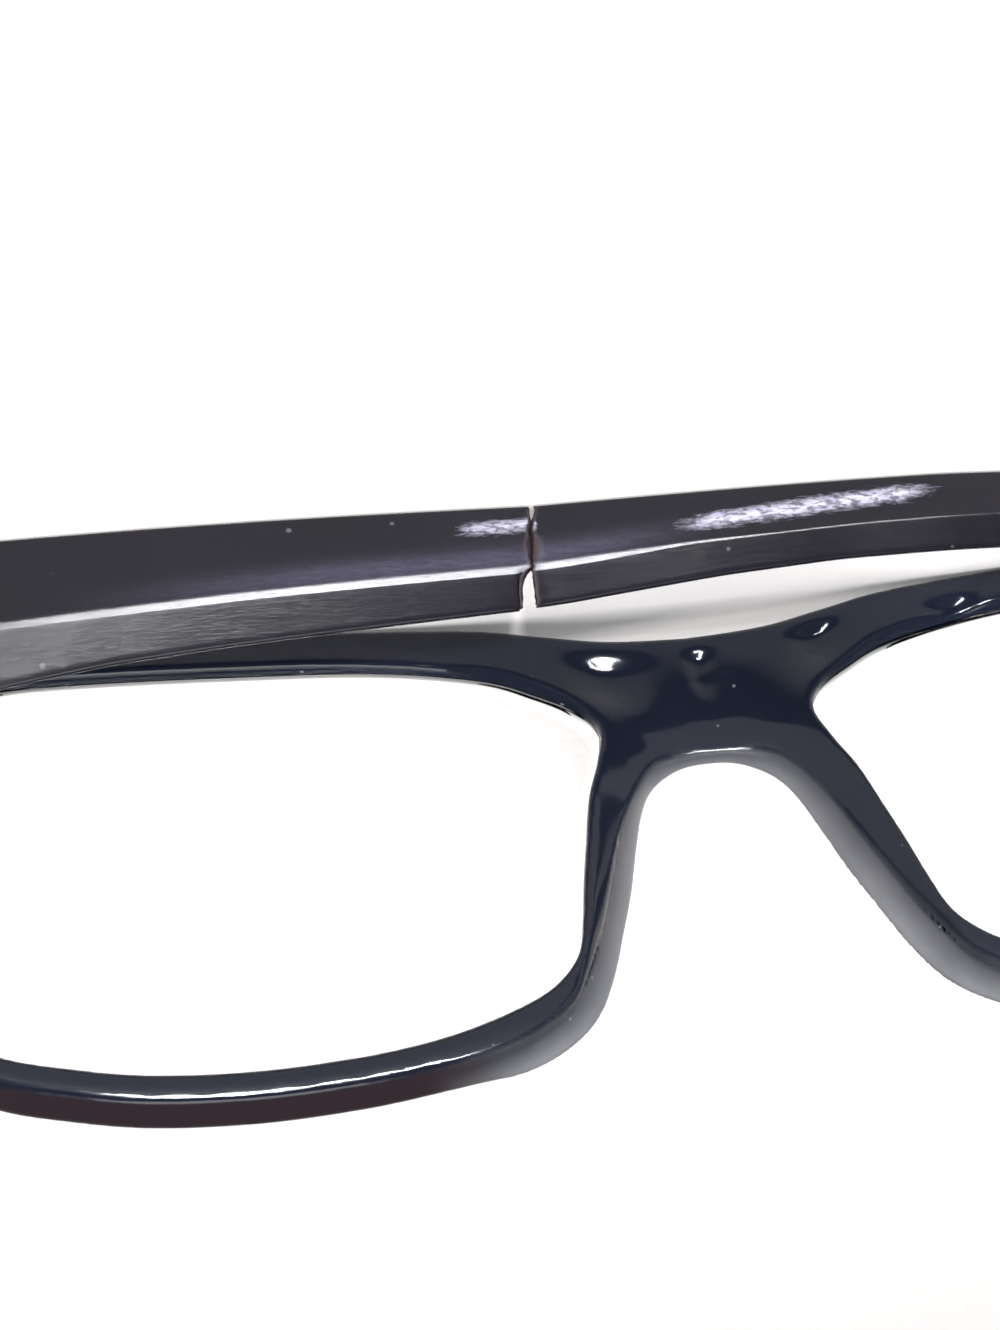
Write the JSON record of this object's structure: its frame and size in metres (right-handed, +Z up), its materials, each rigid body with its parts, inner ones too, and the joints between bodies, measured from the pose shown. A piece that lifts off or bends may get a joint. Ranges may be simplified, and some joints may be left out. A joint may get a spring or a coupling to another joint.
{
  "type": "broken eyeglasses",
  "caption": "Full-rim eyeglasses, upside down on the brow: one temple folded and snapped across, the other open.",
  "frame": {"origin": "on the ground under the bridge, at the middle of the folded left temple's top edge", "axes": "+Z up with the brow line down, the wearer's side is -Y, the wearer's left is +X"},
  "size_m": [0.1382, 0.1381, 0.0399],
  "materials": {
    "frame_plastic": "polished, dark navy",
    "temple_plastic": "worn satin, charcoal",
    "lens": "clear, coated",
    "hinge_steel": "nickel, fine brushed"
  },
  "bodies": {
    "front": {"front_frame": "frame_plastic", "left_lens": "lens", "right_lens": "lens", "left_front_leaf": "hinge_steel", "right_front_leaf": "hinge_steel", "left_hinge_screw": "hinge_steel", "right_hinge_screw": "hinge_steel"},
    "left_temple": {"left_temple_hinge_half": "temple_plastic", "left_temple_ear_half": "temple_plastic", "left_temple_leaf": "hinge_steel", "left_temple_rivet_1": "hinge_steel", "left_temple_rivet_2": "hinge_steel"},
    "right_temple": {"right_temple": "temple_plastic", "right_temple_leaf": "hinge_steel", "right_temple_rivet_1": "hinge_steel", "right_temple_rivet_2": "hinge_steel"}
  },
  "joints": [
    {"name": "left_temple_hinge", "type": "hinge", "parent": "front", "child": "left_temple", "pos_m": [0.06375, 0.00141, 0.0064], "axis": [0, 0, 1], "range_deg": [0, 91.7]},
    {"name": "right_temple_hinge", "type": "hinge", "parent": "front", "child": "right_temple", "pos_m": [-0.06375, 0.00141, 0.0064], "axis": [0, 0, 1], "range_deg": [0, 87]}
  ]
}
